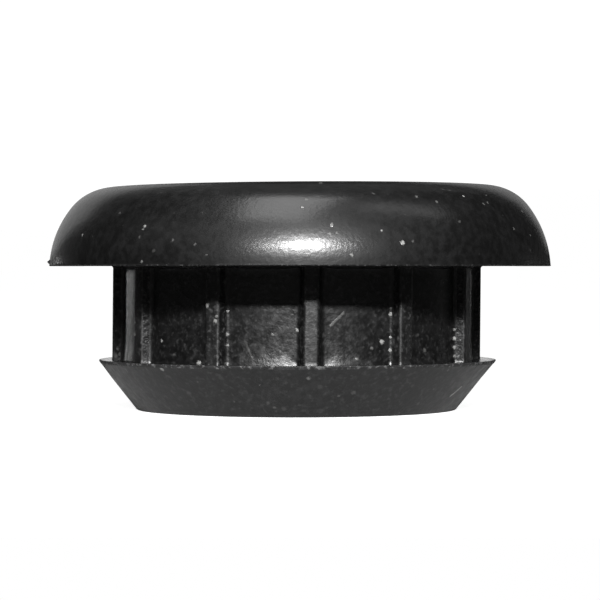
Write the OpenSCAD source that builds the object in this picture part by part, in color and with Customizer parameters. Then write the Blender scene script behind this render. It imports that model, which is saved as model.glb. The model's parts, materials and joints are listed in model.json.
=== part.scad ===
// Rubber grommet that lines a round hole in a panel, moulded in one piece.
//
// The head lies on the panel's face, the ribbed neck grips the hole, and the
// tapered lip is pushed through and springs out behind the panel. A cable or
// tube passes through the bore.
//
// The origin is on the bore's axis, in the plane of the head's underside,
// which is the face of the panel. +Z points out of the head.
// All sizes are in millimetres.

/* [Panel] */
// Diameter of the hole in the panel
hole_d = 25.4; // [20:0.1:40]
// Thickness of the panel
panel_t = 6.35; // [4:0.05:10]
// Play between the panel and the groove that holds it
panel_play = 0.15; // [0.05:0.05:0.5]

/* [Neck] */
// Thickness of the rubber between the bore and the wall that carries the ribs
wall_t = 2.7; // [1.5:0.1:4]
// Number of ribs around the neck
rib_count = 12; // [6:1:16]
// Height of a rib above the wall
rib_h = 0.7; // [0.5:0.05:1.5]
// Width of a rib along its crest
rib_w = 0.95; // [0.6:0.05:1.6]
// Angle between a rib's side and its middle plane, in degrees
rib_draft = 22; // [10:1:30]
// How far each rib is pressed in by the edge of the hole
rib_squeeze = 0.2; // [0:0.05:0.4]
// Radius of the rounded long edges of a rib
rib_edge_r = 0.15; // [0.05:0.05:0.2]
// Radius of the fillet along the foot of a rib
rib_root_r = 0.2; // [0.1:0.05:0.3]
// Radius of the fillet where the wall meets the head and the lip
neck_fillet_r = 0.3; // [0.1:0.05:0.4]

/* [Head] */
// How far the head reaches past the crests of the ribs
head_reach = 4.6; // [3.5:0.1:8]
// Height of the head above the panel
head_t = 5.55; // [4.8:0.05:7.2]
// Width of the rounded shoulder, from the edge to the flat top
shoulder_w = 4.45; // [4.2:0.05:5.5]
// Radius of the tight curve at the top of the shoulder
corner_r = 3.7; // [2.5:0.1:4]
// How far the centre of the shoulder's wide side curve lies below the underside
side_drop = 0.35; // [0:0.05:0.8]

/* [Lip] */
// How far the lip reaches past the crests of the ribs
lip_reach = 0.95; // [0.5:0.05:1.5]
// Height of the tapered lip
lip_h = 3.5; // [2.5:0.1:6]
// Height of the square edge around the widest part of the lip
lip_edge_h = 0.1; // [0.05:0.05:0.4]
// Width of the small end of the lip, from the bore to the taper
tip_w = 1.65; // [1.2:0.05:2.2]

/* [Bore] */
// Radius of the rounded edge at the head end of the bore
mouth_r = 1; // [0.3:0.1:1.5]
// Radius of the rounded edge at the lip end of the bore
exit_r = 0.4; // [0.1:0.05:0.8]

/* [Hidden] */

// Radii and heights that follow from the sizes above
crest_r = hole_d / 2 + rib_squeeze;
wall_r = crest_r - rib_h;
bore_r = wall_r - wall_t;
head_r = crest_r + head_reach;
lip_r = crest_r + lip_reach;
tip_r = bore_r + tip_w;
groove_h = panel_t + panel_play;
bottom_z = -groove_h - lip_h;

// The shoulder of the head is a wide side arc, nearly square to the
// underside, that runs smoothly into the corner arc, which runs smoothly
// into the flat top
top_r = head_r - shoulder_w;
rise = head_t - corner_r + side_drop;
side_r = (pow(shoulder_w, 2) + pow(rise, 2) - pow(corner_r, 2)) / (2 * (shoulder_w - corner_r));
side_centre = [head_r - side_r, -side_drop];
corner_centre = [top_r, head_t - corner_r];
meet_angle = atan2(rise, side_r - shoulder_w);

// Directions square to and along the side of the rib at +X, and the
// distance of that side's plane from the axis
side_out = [sin(rib_draft), cos(rib_draft)];
side_up = [cos(rib_draft), -sin(rib_draft)];
side_offset = [crest_r, rib_w / 2] * side_out;

// How far joined shapes run into each other, and how far a round on a rib
// runs past the faces that it joins, so that they cross cleanly
overlap = 0.5;
seam = 0.002;

$fn = 96;

// The point at one distance from the axis and another outside the rib's side
function beside_rib(reach, gap) =
    (side_offset + gap) * side_out + sqrt(pow(reach, 2) - pow(side_offset + gap, 2)) * side_up;

// Slice of a disc between two angles
module slice(centre, radius, from, to) {
    translate(centre)
        intersection() {
            circle(r = radius);
            polygon([[0, 0], 2 * radius * [cos(from), sin(from)], 2 * radius * [cos(to), sin(to)]]);
        }
}

// What lies between a square corner and a round of the given radius: added
// to an inner corner it makes a fillet, cut from an outer edge it rounds it.
// side is [1 or -1, 1 or -1] and points from the corner to the round's centre.
module corner_piece(corner, radius, side) {
    translate(corner)
        scale(side)
            difference() {
                translate([-overlap, -overlap])
                    square(radius + overlap);
                translate([radius, radius])
                    circle(r = radius);
            }
}

// Half section of the grommet between the ribs: radius along x, height along y
module body_section() {
    polygon([
        [bore_r, bottom_z],
        [tip_r, bottom_z],
        [lip_r, -groove_h - lip_edge_h],
        [lip_r, -groove_h],
        [wall_r, -groove_h],
        [wall_r, 0],
        [top_r + corner_r, 0],
        [top_r, head_t],
        [bore_r, head_t]
    ]);
    intersection() {
        slice(side_centre, side_r, 0, meet_angle);
        square([head_r, head_t]);
    }
    slice(corner_centre, corner_r, 0, 90);
    corner_piece([wall_r, 0], neck_fillet_r, [1, -1]);
    corner_piece([wall_r, -groove_h], neck_fillet_r, [1, 1]);
}

// Everything that is round about the axis
module turned_body() {
    rotate_extrude()
        difference() {
            body_section();
            corner_piece([bore_r, head_t], mouth_r, [1, -1]);
            corner_piece([bore_r, bottom_z], exit_r, [1, 1]);
        }
}

// What is cut from the crest at +Y of the rib at +X to round its long edge
module rib_edge_cut() {
    translate([crest_r - rib_edge_r, rib_w / 2 - rib_edge_r * tan(45 - rib_draft / 2)])
        difference() {
            polygon(2 * rib_edge_r * [[0, 0], [1, 0], [1, 0] + side_out, side_out]);
            circle(r = rib_edge_r + seam);
        }
}

// The fillet between the wall and the +Y side of the rib at +X
module rib_root() {
    centre = beside_rib(wall_r + rib_root_r, rib_root_r);
    difference() {
        polygon([
            centre,
            centre - 2 * rib_root_r * side_out,
            [wall_r - overlap, 0],
            centre * (wall_r - overlap) / wall_r
        ]);
        translate(centre)
            circle(r = rib_root_r + seam);
    }
}

// Cross-section of the rib at +X
module rib_section() {
    foot = beside_rib(wall_r - overlap, 0);
    difference() {
        polygon([
            foot,
            [crest_r, rib_w / 2],
            [crest_r, -rib_w / 2],
            [foot[0], -foot[1]]
        ]);
        for (side = [-1, 1])
            scale([1, side])
                rib_edge_cut();
    }
    for (side = [-1, 1])
        scale([1, side])
            rib_root();
}

// The ribs run from the lip, through the groove, into the head
module ribs() {
    translate([0, 0, -groove_h - lip_edge_h])
        linear_extrude(groove_h + lip_edge_h + overlap)
            for (i = [0:rib_count - 1])
                rotate(i * 360 / rib_count)
                    rib_section();
}

module grommet() {
    color([0.13, 0.13, 0.135]) {
        turned_body();
        ribs();
    }
}

grommet();
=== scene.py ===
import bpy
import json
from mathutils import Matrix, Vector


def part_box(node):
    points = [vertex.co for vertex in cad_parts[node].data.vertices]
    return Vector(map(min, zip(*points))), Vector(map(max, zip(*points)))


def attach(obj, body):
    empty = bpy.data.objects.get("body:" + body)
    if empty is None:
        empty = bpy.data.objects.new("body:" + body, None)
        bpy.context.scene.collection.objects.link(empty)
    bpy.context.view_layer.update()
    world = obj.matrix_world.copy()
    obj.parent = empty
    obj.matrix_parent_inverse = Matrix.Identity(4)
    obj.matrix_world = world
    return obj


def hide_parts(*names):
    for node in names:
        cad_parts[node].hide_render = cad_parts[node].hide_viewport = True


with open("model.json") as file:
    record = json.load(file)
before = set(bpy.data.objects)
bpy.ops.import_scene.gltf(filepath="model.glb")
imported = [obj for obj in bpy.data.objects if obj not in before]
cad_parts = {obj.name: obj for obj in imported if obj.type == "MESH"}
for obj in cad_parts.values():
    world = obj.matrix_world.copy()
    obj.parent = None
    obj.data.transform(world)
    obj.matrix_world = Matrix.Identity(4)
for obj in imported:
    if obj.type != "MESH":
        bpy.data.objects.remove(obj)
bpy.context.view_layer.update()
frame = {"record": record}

# The looks of a moulded rubber grommet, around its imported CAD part. The grommet is one mesh: a closed
# half section, which runs around the head, the bore and the lip, swept through stations around the axis.
# In the neck the stations follow the ribs. Lengths are in millimetres unless a name says otherwise.

import copy
import json
import math
from collections import namedtuple
from types import SimpleNamespace

import bpy
from mathutils import Quaternion, Vector, noise

MM = 0.001
node_low, node_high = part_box("grommet")
mounts = {mount["name"]: mount for mount in frame["record"]["mounts"]}

# Sizes that the frame gives
HEAD_R = node_high.x / MM
TOP_Z = node_high.z / MM
BOTTOM_Z = node_low.z / MM
BORE_R = mounts["bore"]["dims"]["r_mm"]
GROOVE_Z = mounts["lip_face"]["pos_m"][2] / MM

# Sizes that repeat the CAD source
RIB_COUNT = 12
CREST_R = 12.9
WALL_R = 12.2
RIB_W = 0.95
RIB_DRAFT = math.radians(22)
NECK_FILLET_R = 0.3
SIDE_CENTRE_R = 10.1983
SIDE_CENTRE_Z = -0.35
SIDE_R = 7.3017
CORNER_CENTRE_R = 13.05
CORNER_R = 3.7
CORNER_CENTRE_Z = TOP_Z - CORNER_R
MEET_ANGLE = math.atan2(CORNER_CENTRE_Z - SIDE_CENTRE_Z, CORNER_CENTRE_R - SIDE_CENTRE_R)
LIP_R = 13.85
LIP_EDGE_H = 0.1
TIP_R = 11.15
MOUTH_R = 1.0
EXIT_R = 0.4

# Rounds that the CAD source has tighter or not at all. The inset is how far in from an edge's corner
# the middle of its round lies.
RIB_EDGE_R = 0.2
RIB_ROOT_R = 0.32
RIB_FILLET_R = 0.15
TIP_ROUND = 0.2
EDGE_ROUND = 0.05
EDGE_INSET = 0.3 * EDGE_ROUND

# Ribs that stand off their even places, counted from 0 at +X, and the angle that each is turned by
UNEVEN_TURNS = {6: math.radians(1.4), 7: math.radians(-0.9)}

# The slight flare at the neck's foot: its height and how far it comes out, on the wall and on a rib
WALL_FLARE_H = 1.3
WALL_FLARE_REACH = 0.115
RIB_FLARE_H = 0.25
RIB_FLARE_REACH = 0.03

# How ragged the flash and the burr below are: an even share of their reach, and a coarse and a fine
# noise around the axis, each with its weight, its density and its place in the noise
Ripple = namedtuple("Ripple", "weight density place")
FLASH_EVEN = 0.35
FLASH_RIPPLES = (Ripple(0.9, 5, 1.0), Ripple(0.7, 28, 4.0))
BURR_EVEN = 0.3
BURR_RIPPLES = (Ripple(0.8, 9, 7.0), Ripple(0.8, 40, 2.0))

# The mould's flash around the head's lower edge. It is trimmed away on one side and has a nub on
# another. Above the nub's top, the head's side has neither.
FLASH_Z = 0.05
FLASH_H = 0.025
FLASH_REACH = 0.05
TRIMMED_AZIMUTH = math.radians(-62)
TRIMMED_SPREAD = math.radians(50)
NUB_AZIMUTH = math.radians(177.3)
NUB_Z = 0.3
NUB_REACH = 0.22
NUB_SPREAD = 0.13
NUB_TOP_Z = 0.7

# The rough edge of the lip: the width of its band on the taper, how far its burr stands out, and how
# far below its top the mesh has rows, as shares of its height
RIM_W = 0.17
BURR_REACH = 0.035
RIM_DEPTHS = (0.75, 0.4, 0.1)

# The waviness of the moulded faces, the tilt of the head's top, and how far the soft neck and lip have
# set toward -X at their top and bottom
WAVE_HEIGHT = 0.012
WAVE_LENGTH = 4.5
HEAD_TILT = 0.006
LEAN_TOP = 0.17
LEAN_BOTTOM = 0.26

# Faces across each part of the mesh: along the outline of the neck, then along the half section. The
# first few faces of the wall ease from a rib's fillet and flare to the wall's.
NECK_FACES = SimpleNamespace(crest=3, edge=4, side=3, root=4, wall=8, wall_ease=3)
FACES = SimpleNamespace(fillet=5, underside=7, low_side=6, side=14, corner=16, top=5, mouth=10, bore=24,
                        exit=6, base=4, tip=4, taper=14, land=5, flare=7, neck=16)
SHARP_ANGLE = math.radians(40)

# The head's side wears a smooth coat. Between two radii it grows from the share that the flat top has,
# and up to a height it grows from the share that the lower edge has.
TOP_WORN_R = 12.8
SIDE_WORN_R = 14.4
TOP_COAT = 0.15
EDGE_WORN_Z = 1.3
EDGE_COAT = 0.35
COAT_ROUGHNESS = 0.225

# The patterns of the rubber: clouds and mottles of pale bloom, and how far the mottles change roughness.
# A tint multiplies the base of a finish. A ramp has the two levels of noise that it runs between, and
# then what it gives there, where that isn't 0 and 1.
CLOUD_SIZE = 2.4
MOTTLE_SIZE = 0.55
PLAIN_TINT = 0.75
BLOOM_TINT = (2.2, 2.2, 2.25)
MOTTLE_ROUGHNESS = 0.12
CLOUD_RAMP = (0.3, 0.7, 0.4, 1.0)
MOTTLE_RAMP = (0.35, 0.75)
WEAR_RAMP = (0.3, 0.7)
GRAIN_RAMP = (0.5, 0.8)

# Dust: its two patterns, the smallest speck's share of the full size, how steeply a speck rises from
# its outline, its colour, height and roughness, which the painted glints and painted light among the
# listed specks share, and how the outlines are shaken
Dust = namedtuple("Dust", "spacing size paleness")
LARGE_DUST = Dust(1.3, 0.24, 0.6)
SMALL_DUST = Dust(0.8, 0.22, 0.045)
SMALLEST_SPECK = 0.4
DUST_STEEPNESS = 3
DUST_AND_GLINT_COLOUR = (0.38, 0.38, 0.37, 1)
DUST_HEIGHT = 0.03
DUST_ROUGHNESS = 0.4
SHAKE_SIZE = 0.16
SHAKE_REACH = 0.2

# Dust specks and scratches that are placed one by one, some of them painted glints or painted light
# as noted where they stand. An angle is in degrees to the right of the camera, a paleness goes up to 1,
# and a rise is how far a speck lies outside the wall between the ribs. A mark fades out between two
# distances from its middle, which are shares of its size.
Speck = namedtuple("Speck", "angle height size paleness rise", defaults=(0.0,))
Scratch = namedtuple("Scratch", "angle height end_angle end_height width paleness")
SPECK_FADE = (0.24, 0.62)
SCRATCH_FADE = (0.2, 0.65)
ON_CREST = CREST_R - WALL_R
HEAD_MARKS = [
    Speck(22.5, 1.5, 0.30, 1.0), Speck(25, 1.6, 0.18, 0.2), Speck(18, 2.3, 0.18, 0.6),
    Speck(7, 2.65, 0.26, 0.5), Speck(6.5, 2.1, 0.16, 0.5), Speck(8, 2.15, 0.2, 0.3),
    Speck(11, 0.7, 0.24, 0.7), Speck(0.5, 3.8, 0.18, 0.6), Speck(1.5, 4.3, 0.22, 0.2),
    Speck(18, 4.7, 0.2, 0.2), Speck(5.5, 5.4, 0.3, 0.3), Speck(29, 4.5, 0.2, 0.35),
    Speck(34, 4.2, 0.22, 0.3), Speck(44, 4.6, 0.22, 0.9), Speck(53.5, 4.7, 0.2, 0.35),
    Speck(49.5, 4.1, 0.2, 0.3), Speck(51.5, 4.2, 0.2, 0.35), Speck(67.5, 3.7, 0.24, 0.3),
    Speck(57.5, 2.5, 0.22, 0.3), Speck(63, 1.1, 0.2, 0.15), Speck(38.5, 2.9, 0.24, 0.15),
    Speck(-36.7, 2.6, 0.24, 0.8), Speck(-37, 2.4, 0.18, 0.4), Speck(-46.5, 3.5, 0.22, 0.15),
    Speck(-28.5, 1.7, 0.2, 0.25), Speck(-23, 1.4, 0.2, 0.2), Speck(-36, 0.3, 0.2, 0.4),
    Speck(-33, 1.0, 0.3, 0.1), Speck(-37.5, 1.9, 0.2, 0.15),
    Scratch(38, 5.05, 41, 4.95, 0.12, 0.2)
]
NECK_MARKS = [
    Speck(27.5, -5.0, 0.32, 1.0), Speck(24, -5.4, 0.22, 0.3), Speck(0, -4.2, 0.22, 0.7),
    Speck(-7.5, -4.5, 0.2, 0.25), Speck(-48, -5.0, 0.24, 0.9), Speck(-42, -5.9, 0.24, 0.15),
    Speck(44.5, -5.6, 0.3, 0.25), Speck(41.5, -4.6, 0.24, 0.12), Speck(-56, -6.2, 0.26, 0.8),
    Speck(-32, -6.4, 0.34, 0.9), Speck(-23, -6.4, 0.4, 0.3),
    # The specks at 30.5, 60.5 and -22 degrees run along the bright fillet lines at the ribs' roots: dust,
    # and painted glints that brighten those highlight lines.
    Speck(30.5, -2.8, 0.2, 0.4), Speck(30.5, -3.2, 0.26, 0.9), Speck(30.5, -4.7, 0.2, 0.6),
    Speck(30.5, -5.6, 0.24, 0.8), Speck(-25, -3.7, 0.3, 0.3),
    Speck(60.5, -4.3, 0.24, 0.8, 0.1), Speck(60.5, -4.9, 0.28, 1.0, 0.1),
    Speck(60.5, -5.5, 0.24, 0.8, 0.1), Speck(60.5, -6.1, 0.22, 0.5, 0.1),
    Speck(-22, -3.0, 0.22, 0.6), Speck(-22, -4.5, 0.24, 0.6), Speck(-22, -5.2, 0.22, 0.5),
    Speck(-56.5, -6.3, 0.3, 0.6), Speck(-67, -6.3, 0.26, 0.6),
    Scratch(14.5, -3.1, 10.5, -3.9, 0.18, 0.2), Scratch(-16, -5.0, -13.5, -6.2, 0.16, 0.1)
]
CREST_MARKS = [
    # The specks at -24.3, -24.6 and -58.2 degrees sit on the bright lines of the crests' rounded edges:
    # dust, and painted glints that brighten those highlight lines.
    Speck(-27.5, -2.6, 0.34, 0.9, ON_CREST), Speck(-24.3, -3.3, 0.2, 0.4, ON_CREST),
    Speck(-24.6, -3.6, 0.26, 0.7, ON_CREST), Speck(-58.2, -3.8, 0.24, 0.5, ON_CREST),
    Speck(-58.2, -4.6, 0.24, 0.5, ON_CREST)
]
SIDE_MARKS = [
    # These faint pale blotches lie on the lit lower part of a rib's side at the left: painted light that
    # brightens that lit part, laid as faint dust.
    Speck(-81.9, -5.7, 0.34, 0.10, 0.3), Speck(-82.2, -6.2, 0.36, 0.14, 0.5),
    Speck(-81.5, -6.1, 0.3, 0.16, 0.2)
]
LIP_MARKS = [
    Speck(-41, -6.8, 0.34, 0.9), Speck(3.3, -7.3, 0.3, 0.35), Speck(48, -6.9, 0.24, 0.2),
    Speck(-20, -8.9, 0.2, 0.1), Speck(13, -8.5, 0.24, 0.15), Speck(47, -8.2, 0.24, 0.12),
    Speck(44, -9.2, 0.3, 0.12), Speck(-7, -9.3, 0.24, 0.15), Speck(-30, -7.6, 0.2, 0.1),
    Speck(-3, -7.6, 0.3, 0.06), Speck(7, -7.9, 0.4, 0.05), Speck(17.5, -8.3, 0.34, 0.12),
    Speck(-9, -9.0, 0.3, 0.1), Speck(-4, -9.4, 0.4, 0.08), Speck(27, -7.4, 0.3, 0.06),
    Speck(-22, -7.3, 0.4, 0.05), Speck(-35, -8.4, 0.4, 0.05), Speck(37, -7.9, 0.3, 0.06),
    Scratch(63, -8.2, 60, -8.8, 0.26, 0.8)
]

# The finishes of the one rubber, for each part of the mesh. Base is its shade. The grain has a size, a
# height and a tone, the mottles have a height, dust is the share of cells with a large speck, gloss is
# the specular level, and coat is the weight of the smooth coat.
Finish = namedtuple("Finish", "name base roughness grain_size grain_height grain_tone mottle_height "
                              "dust gloss coat marks", defaults=((),))
FINISHES = {
    "head": Finish("rubber_satin", 0.005, 0.50, 0.24, 0.009, 0.006, 0.006, 0.5, 0.35, 0.85, HEAD_MARKS),
    "neck": Finish("rubber_stippled", 0.006, 0.35, 0.25, 0.022, 0.045, 0.006, 0.25, 1.0, 0, NECK_MARKS),
    "crest": Finish("rubber_rubbed", 0.007, 0.45, 0.22, 0.018, 0.07, 0.006, 0.3, 0.85, 0, CREST_MARKS),
    "side": Finish("rubber_rib_side", 0.006, 0.38, 0.26, 0.050, 0.07, 0.012, 0.3, 0.55, 0, SIDE_MARKS),
    "under": Finish("rubber_underside", 0.008, 0.60, 0.24, 0.008, 0.03, 0.003, 0.5, 0.2, 0),
    "land": Finish("rubber_lip_face", 0.008, 0.22, 0.24, 0.006, 0.03, 0.003, 0.5, 0.8, 0),
    "lip": Finish("rubber_matt", 0.008, 0.42, 0.36, 0.012, 0.032, 0.016, 0.4, 0.45, 0, LIP_MARKS),
    "edge": Finish("rubber_flash", 0.012, 0.70, 0.20, 0.010, 0.09, 0.010, 0.6, 0.08, 0),
    "rim": Finish("rubber_rough_rim", 0.030, 0.60, 0.24, 0.020, 0.22, 0.016, 0.6, 0.3, 0),
}
# The bore is finished as the lip is, but it isn't wavy
FINISH_OF = {"bore": "lip"}
WAVY_PARTS = ("head", "lip", "edge", "rim")

# The camera stands level with the head's underside, turned about the axis, and looks slightly down
CAMERA_DISTANCE = 190.0
CAMERA_TURN = math.radians(-4.25)
CAMERA_PITCH = math.radians(0.715)
FIELD_OF_VIEW = math.radians(12.63)
SENSOR_W = 36

# The floor is pale paper with a painted pool of light: around a point near the axis its shade is pale up
# to one radius, and it darkens to another, a painted shade. What it gives to the camera and, as a painted
# glow, to reflections of it is apart from its own shade.
FLOOR_W = 6000
FLOOR_GAP = 0.01
PAPER_CENTRE_Y = 1.0
PAPER_LIT_R = 15.0
PAPER_END_R = 23.0
PAPER_SHADE = 0.8
PAPER_FAR_SHADE = 0.05
PAPER_ROUGHNESS = 0.9
PAPER_WHITE = 0.92
PAPER_IN_REFLECTIONS = 0.05
WORLD_LEVEL = 0.01

# White cards far behind the object. Their corners are directions from the object in degrees: the angle
# to the right of straight behind, and the elevation.
CARD_DISTANCE = 600.0
CARD_SHADE = 0.1
Card = namedtuple("Card", "name level corners")
CARDS = [
    Card("card_left", 0.40, [(-6, 1), (-20, 1), (-28, 3.5), (-34, 8), (-42, 17), (-46, 24), (-36, 30),
                             (-20, 32), (-6, 30)]),
    Card("card_right", 0.27, [(6, 2), (22, 3), (26, 14), (27, 22), (18, 26), (6, 24)]),
    Card("card_back", 1.0, [(-6, -1), (6, -1), (6, 12), (-6, 12)]),
    Card("card_high", 0.08, [(-30, 34), (30, 34), (40, 62), (-40, 62)]),
    Card("kick_left", 9.6, [(-34, -5), (-37, -5), (-37, 2.5), (-34, 2.5)]),
    Card("kick_right", 1.6, [(46, -5), (58, -5), (58, 2), (46, 2)]),
    Card("kick_right_low", 2.2, [(25, -5), (31, -5), (31, 0), (25, 0)]),
]

# Soft rectangular lamps that face the object. Azimuth 0 is at the camera, and grows to its right. Roll
# turns a lamp about the line to the object. The angles are in degrees.
Lamp = namedtuple("Lamp", "name azimuth elevation distance width height watts roll", defaults=(0,))
LAMPS = [
    Lamp("key", 2, 26.6, 500, 115, 30, 2.2),
    Lamp("key_wings", 1, 26.5, 500, 320, 14, 1.25),
    Lamp("fill", -75, 34, 400, 220, 130, 0.012),
    Lamp("top", -17, 71, 400, 175, 265, 0.55),
    Lamp("side", 74, 55, 400, 70, 210, 0.06, roll=45),
]


# ---------------------------------------------------------------- shape

def along(start, end, steps):
    """Points from start to end, without the last one."""
    return [start + (end - start) * k / steps for k in range(steps)]


def arc(centre, radius, start, end, steps):
    """Points (x, y) around a centre from one angle to another in degrees, both included."""
    angles = [math.radians(start + (end - start) * k / steps) for k in range(steps + 1)]
    return [(centre[0] + radius * math.cos(a), centre[1] + radius * math.sin(a)) for a in angles]


def polar(radius, angle):
    """The point at that distance and angle, in a plane square to the axis."""
    return Vector((radius * math.cos(angle), radius * math.sin(angle)))


class Station:
    """A place on the outline of the neck: its point, its outward direction, the part of the neck that it
    is on, and the sizes of the fillet above it and the flare below it."""

    def __init__(self, point, facing, part):
        self.point = point
        self.outward = polar(1, facing)
        self.part = part
        self.fillet_r = RIB_FILLET_R
        self.flare_h = RIB_FLARE_H
        self.flare_reach = RIB_FLARE_REACH

    def ease_to_wall(self, share):
        """Bring the fillet and the flare that share of the way from a rib's sizes to the wall's."""
        self.fillet_r += (NECK_FILLET_R - RIB_FILLET_R) * share
        self.flare_h += (WALL_FLARE_H - RIB_FLARE_H) * share
        self.flare_reach += (WALL_FLARE_REACH - RIB_FLARE_REACH) * share

    def turned(self, angle, mirrored):
        """A copy on the rib at the given angle, on its other side if mirrored."""
        sign = -1 if mirrored else 1
        turn = polar(1, angle)
        side = Vector((-turn.y, turn.x))
        station = copy.copy(self)
        station.point = turn * self.point.x + side * self.point.y * sign
        station.outward = turn * self.outward.x + side * self.outward.y * sign
        return station

    def angle(self):
        return math.atan2(self.point.y, self.point.x)


def half_rib():
    """Stations from the middle of the rib at +X to the middle of the wall beside it."""
    side_angle = math.pi / 2 - RIB_DRAFT
    side_out = polar(1, side_angle)
    side_up = Vector((math.sin(side_angle), -math.cos(side_angle)))
    offset = Vector((CREST_R, RIB_W / 2)).dot(side_out)
    edge_y = RIB_W / 2 - RIB_EDGE_R * math.tan(math.pi / 4 - RIB_DRAFT / 2)
    edge_centre = Vector((CREST_R - RIB_EDGE_R, edge_y))
    reach = WALL_R + RIB_ROOT_R
    gap = offset + RIB_ROOT_R
    root_centre = side_out * gap + side_up * math.sqrt(reach ** 2 - gap ** 2)
    root_angle = math.atan2(root_centre.y, root_centre.x)

    faces = NECK_FACES
    stations = [Station(Vector((CREST_R, y)), 0, "crest") for y in along(0, edge_y, faces.crest)]
    for k in range(faces.edge + 1):
        a = side_angle * k / faces.edge
        stations.append(Station(edge_centre + RIB_EDGE_R * polar(1, a), a, "crest"))
    foot = root_centre - RIB_ROOT_R * side_out
    top = stations[-1].point
    for k in range(1, faces.side):
        stations.append(Station(top.lerp(foot, k / faces.side), side_angle, "side"))
    for k in range(faces.root + 1):
        a = side_angle + (root_angle - side_angle) * k / faces.root
        stations.append(Station(root_centre - RIB_ROOT_R * polar(1, a), a, "root"))
    for k in range(1, faces.wall + 1):
        a = root_angle + (math.pi / RIB_COUNT - root_angle) * k / faces.wall
        station = Station(polar(WALL_R, a), a, "wall")
        station.ease_to_wall(min(1.0, k / faces.wall_ease))
        stations.append(station)
    return stations


def neck_stations():
    """Stations all around the neck, in the order of their angles."""
    half = half_rib()
    around = []
    for rib in range(RIB_COUNT):
        turn = 2 * math.pi * rib / RIB_COUNT + UNEVEN_TURNS.get(rib, 0)
        around += [station.turned(turn, True) for station in reversed(half[1:-1])]
        around += [station.turned(turn, False) for station in half]
    return around


# A row of the half section is a pair: a function that gives its point at a station, and the name of the
# part of the mesh that begins with it. A row's share says where it lies across its part, from 0 to 1.

def circle_rows(points, part):
    """A row all around the axis for each (radius, height)."""
    def row(radius, z):
        return lambda station: Vector((*polar(radius, station.angle()), z))
    return [(row(radius, z), part) for radius, z in points]


def neck_row(share):
    """A row up the neck, from the top of the lower flare to the upper fillet."""
    def place(station):
        bottom = GROOVE_Z + station.flare_h
        z = bottom + (-station.fillet_r - bottom) * share
        return Vector((*station.point, z))
    return place, "neck"


def fillet_row(share):
    """A row of the fillet under the head, from the neck to the underside."""
    def place(station):
        a = share * math.pi / 2
        out = station.fillet_r * (1 - math.cos(a))
        return Vector((*(station.point + station.outward * out), -station.fillet_r * (1 - math.sin(a))))
    return place, "under"


def flare_row(share):
    """A row of the slight flare at the neck's foot, from where it begins to the lip."""
    def place(station):
        out = station.flare_reach * share ** 2
        return Vector((*(station.point + station.outward * out), GROOVE_Z + station.flare_h * (1 - share)))
    return place, "neck"


def between(station, start, edge_r, share, z):
    """The point of a flat face on the way from that far outside the neck to a circle around the axis."""
    inner = station.point + station.outward * start
    outer = polar(edge_r, station.angle())
    return Vector((*inner.lerp(outer, share), z))


def underside_row(share):
    """A row of the head's underside, from the fillet to its edge."""
    def place(station):
        return between(station, station.fillet_r, HEAD_R - EDGE_ROUND, share, 0)
    return place, "under"


def land_row(share):
    """A row of the lip's upper face, from the neck's foot to its edge."""
    def place(station):
        return between(station, station.flare_reach, LIP_R - EDGE_ROUND, share, GROOVE_Z)
    return place, "land"


def side_arc_angle(z):
    """The angle in degrees at which the head's side arc passes that height."""
    return math.degrees(math.asin((z - SIDE_CENTRE_Z) / SIDE_R))


def head_rows():
    """Rows from the head's lower edge, up its side and across its flat top, into the bore's mouth."""
    meet = math.degrees(MEET_ANGLE)
    low = side_arc_angle(NUB_TOP_Z)
    side = (SIDE_CENTRE_R, SIDE_CENTRE_Z)
    outline = arc(side, SIDE_R, side_arc_angle(EDGE_ROUND * 2), low, FACES.low_side)[:-1]
    outline += arc(side, SIDE_R, low, meet, FACES.side)[:-1]
    outline += arc((CORNER_CENTRE_R, CORNER_CENTRE_Z), CORNER_R, meet, 90, FACES.corner)
    flat_r = BORE_R + MOUTH_R
    outline += [(r, TOP_Z) for r in along(CORNER_CENTRE_R, flat_r, FACES.top)[1:]]
    outline += arc((flat_r, TOP_Z - MOUTH_R), MOUTH_R, 90, 180, FACES.mouth)
    edge = [(HEAD_R - EDGE_INSET, EDGE_INSET), (HEAD_R, FLASH_Z)]
    return circle_rows(edge, "edge") + circle_rows(outline, "head")


def bore_rows():
    """Rows down the bore and around its lower end."""
    low = BOTTOM_Z + EXIT_R
    outline = [(BORE_R, z) for z in along(TOP_Z - MOUTH_R, low, FACES.bore)[1:]]
    outline += arc((BORE_R + EXIT_R, low), EXIT_R, 180, 270, FACES.exit)
    return circle_rows(outline, "bore")


def lip_rows():
    """Rows across the small end, up the taper and around the lip's edge."""
    up = Vector((LIP_R - TIP_R, GROOVE_Z - LIP_EDGE_H - BOTTOM_Z)).normalized()
    slant = math.atan2(up.x, up.y)
    cut = TIP_ROUND * math.tan((math.pi / 2 - slant) / 2)
    base_r = TIP_R - cut
    outline = [(r, BOTTOM_Z) for r in along(BORE_R + EXIT_R, base_r, FACES.base)[1:]]
    outline += arc((base_r, BOTTOM_Z + TIP_ROUND), TIP_ROUND, -90, -math.degrees(slant), FACES.tip)
    start = Vector((TIP_R, BOTTOM_Z)) + up * cut
    end = Vector((LIP_R, GROOVE_Z - LIP_EDGE_H))
    outline += [start.lerp(end, k / FACES.taper) for k in range(1, FACES.taper)]
    low, middle, high = [GROOVE_Z - depth * LIP_EDGE_H for depth in RIM_DEPTHS]
    corner = (LIP_R - EDGE_INSET, GROOVE_Z - LIP_EDGE_H - EDGE_INSET)
    edge = [end - up * RIM_W, corner, (LIP_R, low), (LIP_R, middle), (LIP_R - EDGE_INSET, high)]
    return circle_rows(outline, "lip") + circle_rows(edge, "rim")


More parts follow.
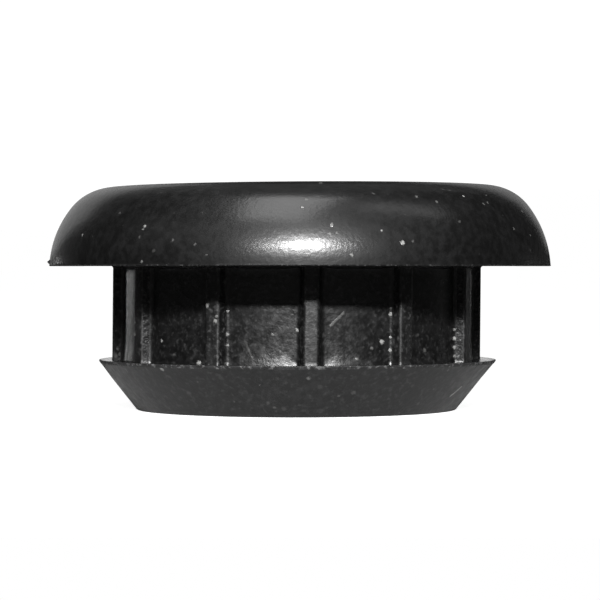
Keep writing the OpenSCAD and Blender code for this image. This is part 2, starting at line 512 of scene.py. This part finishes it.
def section_rows():
    """The rows of the closed half section, from the neck's top, out around the head and back up the neck."""
    rows = [fillet_row(k / FACES.fillet) for k in range(1, FACES.fillet + 1)]
    rows += [underside_row(k / FACES.underside) for k in range(1, FACES.underside + 1)]
    rows += head_rows() + bore_rows() + lip_rows()
    rows += [land_row(k / FACES.land) for k in range(FACES.land, 0, -1)]
    rows += [flare_row(k / FACES.flare) for k in range(FACES.flare, 0, -1)]
    rows += [neck_row(k / FACES.neck) for k in range(FACES.neck + 1)]
    return rows


def ragged(angle, even, ripples):
    """How far a ragged edge stands out at that angle around the axis, as a share of its reach."""
    total = even
    for ripple in ripples:
        total += ripple.weight * noise.noise(Vector((*polar(ripple.density, angle), ripple.place)))
    return max(0.0, total)


def flash(point):
    """How far the mould's flash stands out of the head's lower edge there."""
    a = math.atan2(point.y, point.x)
    near = math.exp(-((point.z - FLASH_Z) / FLASH_H) ** 2)
    bare = math.exp(-(math.remainder(a - TRIMMED_AZIMUTH, 2 * math.pi) / TRIMMED_SPREAD) ** 4)
    untrimmed = ragged(a, FLASH_EVEN, FLASH_RIPPLES) * (1 - bare)
    turn = math.remainder(a - NUB_AZIMUTH, 2 * math.pi) * HEAD_R
    nub = NUB_REACH * math.exp(-(turn ** 2 + (point.z - NUB_Z) ** 2) / NUB_SPREAD ** 2)
    return FLASH_REACH * near * untrimmed + nub


def burr(point):
    """How far the rough edge of the lip stands out there."""
    a = math.atan2(point.y, point.x)
    return BURR_REACH * ragged(a, BURR_EVEN, BURR_RIPPLES)


def lean(point, radius):
    """The shift in X of the soft neck and lip from the head, at a point of that radius."""
    depth = min(1.0, max(0.0, point.z / BOTTOM_Z))
    inside = min(1.0, max(0.0, (HEAD_R - radius) / (HEAD_R - CREST_R)))
    below = min(1.0, max(0.0, 1 - point.z / TOP_Z))
    return -(LEAN_TOP + (LEAN_BOTTOM - LEAN_TOP) * depth) * inside * below * below


def weathered(point, part):
    """The point as moulded and set: with flash, burr, waviness, tilt and lean."""
    radial = Vector((point.x, point.y, 0)).normalized()
    if part in ("edge", "head") and 0 <= point.z < NUB_TOP_Z:
        point += radial * flash(point)
    if part == "rim":
        point += radial * burr(point)
    wave = noise.noise(point / WAVE_LENGTH) if part in WAVY_PARTS else 0
    point += radial * WAVE_HEIGHT * wave
    point.z += HEAD_TILT * point.x * max(0.0, point.z / TOP_Z)
    point.x += lean(point, math.hypot(point.x, point.y))
    return point


def grommet_mesh():
    """The whole grommet as one closed mesh, with the name of a part for each face."""
    stations = neck_stations()
    rows = section_rows()
    count = len(stations)
    vertices = [weathered(place(station), part) * MM for place, part in rows for station in stations]
    faces = []
    parts = []
    for j, (_, part) in enumerate(rows):
        below = (j + 1) % len(rows)
        for i, station in enumerate(stations):
            right = (i + 1) % count
            faces.append((j * count + i, j * count + right, below * count + right, below * count + i))
            ends = (station.part, stations[right].part)
            if part == "neck" and "side" in ends:
                parts.append("side")
            elif part == "neck" and ends == ("crest", "crest"):
                parts.append("crest")
            else:
                parts.append(part)
    mesh = bpy.data.meshes.new("grommet_rubber")
    mesh.from_pydata(vertices, [], faces)
    mesh.update()
    return mesh, parts


# ---------------------------------------------------------------- rubber

def grey(level):
    return (level, level, level, 1)


class Nodes:
    """Short forms for building a material's nodes."""

    def __init__(self, name):
        self.material = bpy.data.materials.new(name)
        self.material.use_nodes = True
        self.tree = self.material.node_tree
        self.sockets = self.tree.nodes["Principled BSDF"].inputs
        self.place = self.add("TexCoord").outputs["Object"]

    def add(self, kind, **values):
        node = self.tree.nodes.new("ShaderNode" + kind)
        for name, value in values.items():
            setattr(node, name, value)
        return node

    def link(self, source, socket):
        """Give the socket that other socket's output, or that value."""
        if isinstance(source, bpy.types.NodeSocket):
            self.tree.links.new(source, socket)
        else:
            socket.default_value = source

    def math(self, operation, a, b=0.0, c=0.0, clamp=False):
        node = self.add("Math", operation=operation, use_clamp=clamp)
        for socket, source in zip(node.inputs, (a, b, c)):
            self.link(source, socket)
        return node.outputs[0]

    def vector(self, operation, *sources, scale=None, result="Vector"):
        """A vector, or the number that result="Value" gives. Only the SCALE operation has a scale."""
        node = self.add("VectorMath", operation=operation)
        for socket, source in zip(node.inputs, sources):
            self.link(source, socket)
        if scale is not None:
            self.link(scale, node.inputs["Scale"])
        return node.outputs[result]

    def noise(self, size, detail=2.0, roughness=0.5, result="Fac"):
        """Noise from about 0 to 1 whose features are that many millimetres across."""
        node = self.add("TexNoise")
        self.link(self.place, node.inputs["Vector"])
        node.inputs["Scale"].default_value = 1 / (size * MM)
        node.inputs["Detail"].default_value = detail
        node.inputs["Roughness"].default_value = roughness
        return node.outputs[result]

    def shaken(self):
        """The place, moved about a little, which gives the dust and the scratches ragged outlines."""
        centred = self.vector("SUBTRACT", self.noise(SHAKE_SIZE, result="Color"), (0.5, 0.5, 0.5))
        return self.vector("MULTIPLY_ADD", centred, (SHAKE_REACH * MM,) * 3, self.place)

    def ramp(self, source, low, high, to_low=0.0, to_high=1.0):
        """The source mapped from one range to another, smoothly and within its ends."""
        node = self.add("MapRange", interpolation_type="SMOOTHSTEP")
        for name, value in (("Value", source), ("From Min", low), ("From Max", high),
                            ("To Min", to_low), ("To Max", to_high)):
            self.link(value, node.inputs[name])
        return node.outputs["Result"]

    def mix(self, share, first, second):
        """A colour between two others."""
        node = self.add("Mix", data_type="RGBA")
        self.link(share, node.inputs["Factor"])
        self.link(first, node.inputs["A"])
        self.link(second, node.inputs["B"])
        return node.outputs["Result"]

    def bump(self, height, distance, normal=None):
        """A bump whose height of 1 stands that many millimetres."""
        node = self.add("Bump")
        node.inputs["Distance"].default_value = distance * MM
        self.link(height, node.inputs["Height"])
        if normal:
            self.link(normal, node.inputs["Normal"])
        return node.outputs["Normal"]


def on_surface(front_angle, z, rise=0.0):
    """The point of the surface between the ribs at that height, in metres, at an angle in degrees that
    grows to the right of the camera, and rise outside it."""
    if z > CORNER_CENTRE_Z + CORNER_R * math.sin(MEET_ANGLE):
        radius = CORNER_CENTRE_R + math.sqrt(CORNER_R ** 2 - (z - CORNER_CENTRE_Z) ** 2)
    elif z >= 0:
        radius = SIDE_CENTRE_R + math.sqrt(SIDE_R ** 2 - (z - SIDE_CENTRE_Z) ** 2)
    elif z > GROOVE_Z:
        radius = WALL_R
    else:
        radius = LIP_R + (TIP_R - LIP_R) * (z - GROOVE_Z) / (BOTTOM_Z - GROOVE_Z)
    radius += rise
    point = Vector((*polar(radius, math.radians(front_angle - 90) + CAMERA_TURN), z))
    point.x += lean(point, radius)
    return point * MM


def speck_shape(nodes, place, mark):
    """One speck of dust, or of painted glint or painted light, up to its paleness at its middle."""
    middle = on_surface(mark.angle, mark.height, mark.rise)
    gap = nodes.vector("DISTANCE", place, middle, result="Value")
    start, end = [fade * mark.size * MM for fade in SPECK_FADE]
    return nodes.ramp(gap, start, end, mark.paleness, 0.0)


def scratch_shape(nodes, place, mark):
    """A fine pale scratch, up to its paleness along its middle."""
    first = on_surface(mark.angle, mark.height)
    run = on_surface(mark.end_angle, mark.end_height) - first
    offset = nodes.vector("SUBTRACT", place, first)
    share = nodes.vector("DOT_PRODUCT", offset, run / run.length_squared, result="Value")
    nearest = nodes.vector("SCALE", run, scale=nodes.math("ADD", share, clamp=True))
    gap = nodes.vector("DISTANCE", offset, nearest, result="Value")
    start, end = [fade * mark.width * MM for fade in SCRATCH_FADE]
    return nodes.ramp(gap, start, end, mark.paleness, 0.0)


def dust_shape(nodes, place, dust, share):
    """Irregular specks of dust, up to their paleness, in about that share of the cells they spread over."""
    cells = nodes.add("TexVoronoi")
    cells.inputs["Scale"].default_value = 1 / (dust.spacing * MM)
    nodes.link(place, cells.inputs["Vector"])
    pick = nodes.add("SeparateColor")
    nodes.link(cells.outputs["Color"], pick.inputs[0])
    kept = nodes.math("LESS_THAN", pick.outputs["Red"], share)
    size = nodes.ramp(pick.outputs["Green"], 0, 1, SMALLEST_SPECK, 1.0)
    reach = nodes.math("MULTIPLY", size, dust.size / 2 / dust.spacing)
    inside = nodes.math("SUBTRACT", reach, cells.outputs["Distance"])
    soft = nodes.math("MULTIPLY", inside, DUST_STEEPNESS * dust.spacing / dust.size, clamp=True)
    return nodes.math("MULTIPLY", nodes.math("MULTIPLY", soft, kept), dust.paleness)


def all_marks(nodes, finish):
    """How pale the dust, the scratches and the specks of painted glints and painted light make each place,
    from 0 to 1.
    """
    place = nodes.shaken()
    large = dust_shape(nodes, place, LARGE_DUST, share=finish.dust)
    small = dust_shape(nodes, place, SMALL_DUST, share=1.0)
    found = nodes.math("MAXIMUM", large, small)
    for mark in finish.marks:
        shape = speck_shape if isinstance(mark, Speck) else scratch_shape
        found = nodes.math("MAXIMUM", shape(nodes, place, mark), found)
    return found


def coat_weight(nodes, coat):
    """That weight of coat on the side of the head, which wears smoother than the flat top and the bore."""
    across = nodes.vector("MULTIPLY", nodes.place, (1, 1, 0))
    radius = nodes.vector("LENGTH", across, result="Value")
    side = nodes.ramp(radius, TOP_WORN_R * MM, SIDE_WORN_R * MM, TOP_COAT * coat, coat)
    height = nodes.add("SeparateXYZ")
    nodes.link(nodes.place, height.inputs[0])
    edge = nodes.ramp(height.outputs["Z"], 0, EDGE_WORN_Z * MM, EDGE_COAT, 1.0)
    return nodes.math("MULTIPLY", side, edge)


def rubber(finish):
    """Moulded black rubber with fine grain, mottling and dust, and listed specks of which some are painted
    glints and painted light.
    """
    nodes = Nodes(finish.name)
    shader = nodes.sockets
    marks = all_marks(nodes, finish)
    cloud = nodes.noise(CLOUD_SIZE, detail=3.0)
    mottle = nodes.noise(MOTTLE_SIZE, detail=3.0, roughness=0.6)
    grain = nodes.noise(finish.grain_size)

    bloom = nodes.math("MULTIPLY", nodes.ramp(cloud, *CLOUD_RAMP), nodes.ramp(mottle, *MOTTLE_RAMP))
    pale = tuple(finish.base * tint for tint in BLOOM_TINT) + (1,)
    tone = nodes.mix(bloom, grey(finish.base * PLAIN_TINT), pale)
    tone = nodes.mix(nodes.ramp(grain, *GRAIN_RAMP), tone, grey(finish.grain_tone))
    # The marks mix in their pale colour: dust, and the painted glints and painted light among the listed
    # specks.
    nodes.link(nodes.mix(marks, tone, DUST_AND_GLINT_COLOUR), shader["Base Color"])

    smoothest = finish.roughness - MOTTLE_ROUGHNESS / 2
    worn = nodes.math("MULTIPLY_ADD", nodes.ramp(mottle, *WEAR_RAMP), MOTTLE_ROUGHNESS, smoothest)
    nodes.link(nodes.math("MULTIPLY_ADD", marks, DUST_ROUGHNESS, worn), shader["Roughness"])
    shader["Specular IOR Level"].default_value = finish.gloss

    normal = nodes.bump(mottle, finish.mottle_height)
    normal = nodes.bump(grain, finish.grain_height, normal)
    normal = nodes.bump(marks, DUST_HEIGHT, normal)
    nodes.link(normal, shader["Normal"])
    if finish.coat:
        shader["Coat Roughness"].default_value = COAT_ROUGHNESS
        nodes.link(coat_weight(nodes, finish.coat), shader["Coat Weight"])
        nodes.link(normal, shader["Coat Normal"])
    return nodes.material


def place_object(name, data):
    """An object in the scene that shows that mesh, lamp or camera."""
    piece = bpy.data.objects.new(name, data)
    bpy.context.scene.collection.objects.link(piece)
    return piece


def build_grommet():
    """The grommet in its finishes, in place of its CAD node."""
    mesh, parts = grommet_mesh()
    for finish in FINISHES.values():
        mesh.materials.append(rubber(finish))
    order = list(FINISHES)
    mesh.polygons.foreach_set("material_index", [order.index(FINISH_OF.get(p, p)) for p in parts])
    mesh.polygons.foreach_set("use_smooth", [True] * len(mesh.polygons))
    mesh.set_sharp_from_angle(angle=SHARP_ANGLE)
    piece = place_object("grommet_rubber", mesh)
    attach(piece, "root")
    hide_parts("grommet")


# ---------------------------------------------------------------- studio

def paper():
    """Pale paper that is white to the camera but for the object's shadow, with a painted pool of light near
    the object and a painted glow there in reflections.
    """
    nodes = Nodes("paper")
    shader = nodes.sockets
    gap = nodes.vector("DISTANCE", nodes.place, (0, PAPER_CENTRE_Y * MM, 0), result="Value")
    # Near the object the paper has a painted pool of light, and far from it a painted dark shade.
    near = nodes.ramp(gap, PAPER_LIT_R * MM, PAPER_END_R * MM, 1.0, 0.0)
    shade = nodes.ramp(near, 0, 1, PAPER_FAR_SHADE, PAPER_SHADE)
    pale = nodes.add("CombineColor")
    for socket in pale.inputs:
        nodes.link(shade, socket)
    nodes.link(pale.outputs[0], shader["Base Color"])
    shader["Roughness"].default_value = PAPER_ROUGHNESS
    shader["Specular IOR Level"].default_value = 0.0
    path = nodes.add("LightPath").outputs
    white = nodes.math("MULTIPLY", path["Is Camera Ray"], nodes.ramp(near, 0, 1, 1.0, PAPER_WHITE))
    # A painted glow: near the object the paper shines in reflections.
    mirrored = nodes.math("MULTIPLY", near, PAPER_IN_REFLECTIONS)
    mirrored = nodes.math("MULTIPLY", path["Is Glossy Ray"], mirrored)
    shader["Emission Color"].default_value = grey(1)
    nodes.link(nodes.math("ADD", white, mirrored), shader["Emission Strength"])
    return nodes.material


def white_card(name, level):
    """Pale card that is white to the camera and gives the object that level of light."""
    nodes = Nodes(name)
    nodes.sockets["Base Color"].default_value = grey(CARD_SHADE)
    nodes.sockets["Emission Color"].default_value = grey(1)
    camera = nodes.add("LightPath").outputs["Is Camera Ray"]
    nodes.link(nodes.ramp(camera, 0, 1, level, 1.0), nodes.sockets["Emission Strength"])
    return nodes.material


def build_flat(name, corners, material):
    """A flat stage piece with those corners, in metres."""
    mesh = bpy.data.meshes.new(name)
    mesh.from_pydata(corners, [], [tuple(range(len(corners)))])
    mesh.materials.append(material)
    piece = place_object(name, mesh)
    return piece


def build_floor():
    w = FLOOR_W / 2 * MM
    floor = build_flat("floor", [(-w, -w, 0), (w, -w, 0), (w, w, 0), (-w, w, 0)], paper())
    floor.location = Vector((0, 0, BOTTOM_Z - FLOOR_GAP)) * MM


def build_card(card):
    corners = []
    for azimuth, elevation in card.corners:
        a = math.radians(azimuth) - CAMERA_TURN
        height = math.tan(math.radians(elevation))
        corners.append(Vector((math.sin(a), math.cos(a), height)) * CARD_DISTANCE * MM)
    build_flat(card.name, corners, white_card(card.name, card.level))


def build_lamp(lamp):
    data = bpy.data.lights.new(lamp.name, "AREA")
    data.shape = "RECTANGLE"
    data.size = lamp.width * MM
    data.size_y = lamp.height * MM
    data.energy = lamp.watts
    piece = place_object(lamp.name, data)
    a = math.radians(lamp.azimuth) + CAMERA_TURN
    e = math.radians(lamp.elevation)
    away = Vector((math.sin(a) * math.cos(e), -math.cos(a) * math.cos(e), math.sin(e)))
    piece.location = away * lamp.distance * MM
    facing = away.to_track_quat("Z", "Y") @ Quaternion((0, 0, 1), math.radians(lamp.roll))
    piece.rotation_euler = facing.to_euler()


def build_world():
    """A world that is white to the camera and nearly black to the object."""
    world = bpy.data.worlds.new("studio")
    bpy.context.scene.world = world
    world.use_nodes = True
    tree = world.node_tree
    background = tree.nodes["Background"]
    path = tree.nodes.new("ShaderNodeLightPath")
    level = tree.nodes.new("ShaderNodeMapRange")
    tree.links.new(path.outputs["Is Camera Ray"], level.inputs["Value"])
    level.inputs["To Min"].default_value = WORLD_LEVEL
    tree.links.new(level.outputs["Result"], background.inputs["Strength"])
    background.inputs["Color"].default_value = grey(1)


def build_camera():
    data = bpy.data.cameras.new("view")
    data.sensor_width = SENSOR_W
    data.lens = SENSOR_W / 2 / math.tan(FIELD_OF_VIEW / 2)
    piece = place_object("view", data)
    toward = Vector((math.sin(-CAMERA_TURN), math.cos(CAMERA_TURN), 0))
    piece.location = -toward * CAMERA_DISTANCE * MM
    piece.rotation_euler = (math.pi / 2 - CAMERA_PITCH, 0, CAMERA_TURN)
    bpy.context.scene.camera = piece


def main():
    build_grommet()
    build_floor()
    for card in CARDS:
        build_card(card)
    for lamp in LAMPS:
        build_lamp(lamp)
    build_world()
    build_camera()
    bpy.context.scene.view_settings.view_transform = "Standard"


main()
